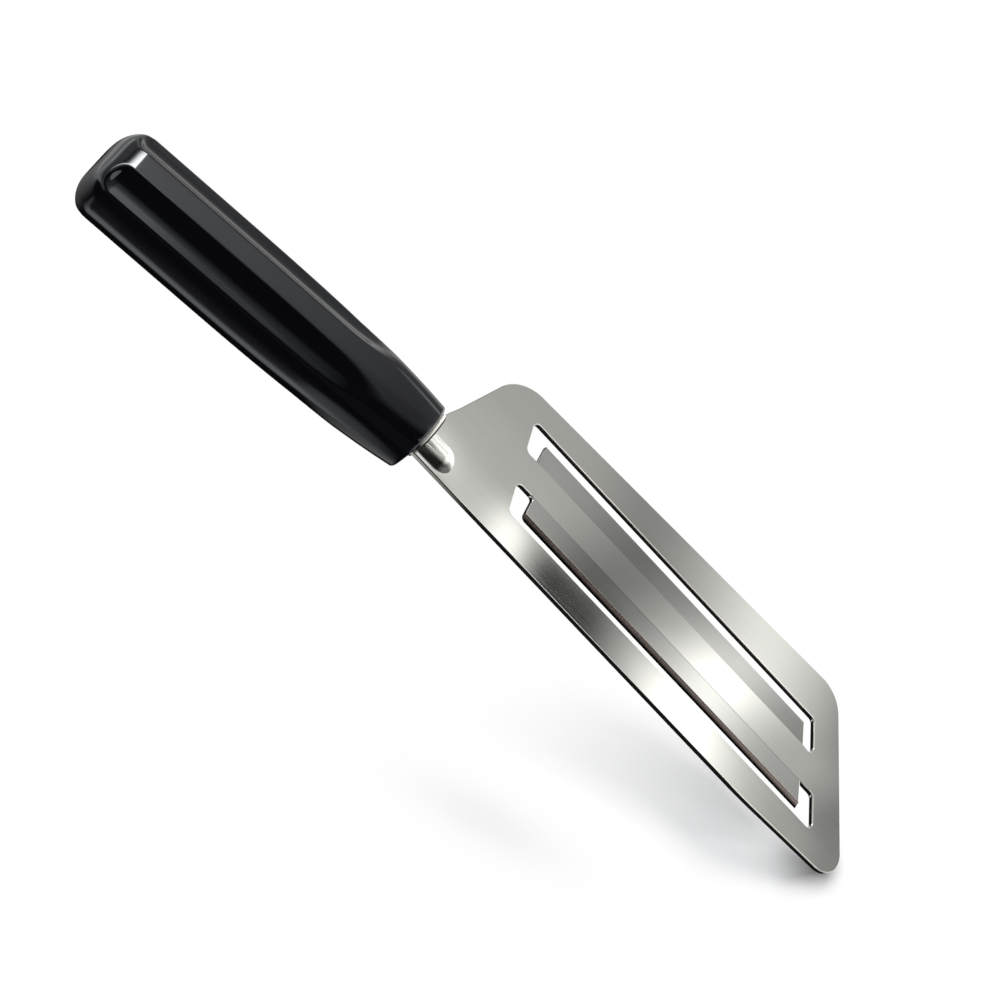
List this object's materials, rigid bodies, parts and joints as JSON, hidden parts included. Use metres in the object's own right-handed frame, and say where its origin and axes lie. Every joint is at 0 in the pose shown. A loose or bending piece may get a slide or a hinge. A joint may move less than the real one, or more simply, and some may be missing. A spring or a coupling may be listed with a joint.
{
  "type": "cabbage slicer",
  "caption": "Double-edged cabbage slicer: a slotted stainless plate with a sharpened strip between the slots, on a fluted black moulded handle set at a slight angle to the plate.",
  "frame": {"origin": "under the middle of the whole slicer, at the level of its lowest point, the underside of the handle near its butt", "axes": "+X along the plate from the handle to the tip, +Y across the plate towards its wide upper edge, +Z square to the plate, out of the face that shows the rib and the bevels"},
  "size_m": [0.2972, 0.0682, 0.0329],
  "materials": {
    "steel_sheet": "satin, with soft reflections along its length",
    "black_plastic": "satin gloss, moulded",
    "bright_steel": "polished"
  },
  "bodies": {
    "root": {"slicing_plate": "steel_sheet", "handle": "black_plastic", "front_collar": "bright_steel"}
  },
  "joints": []
}
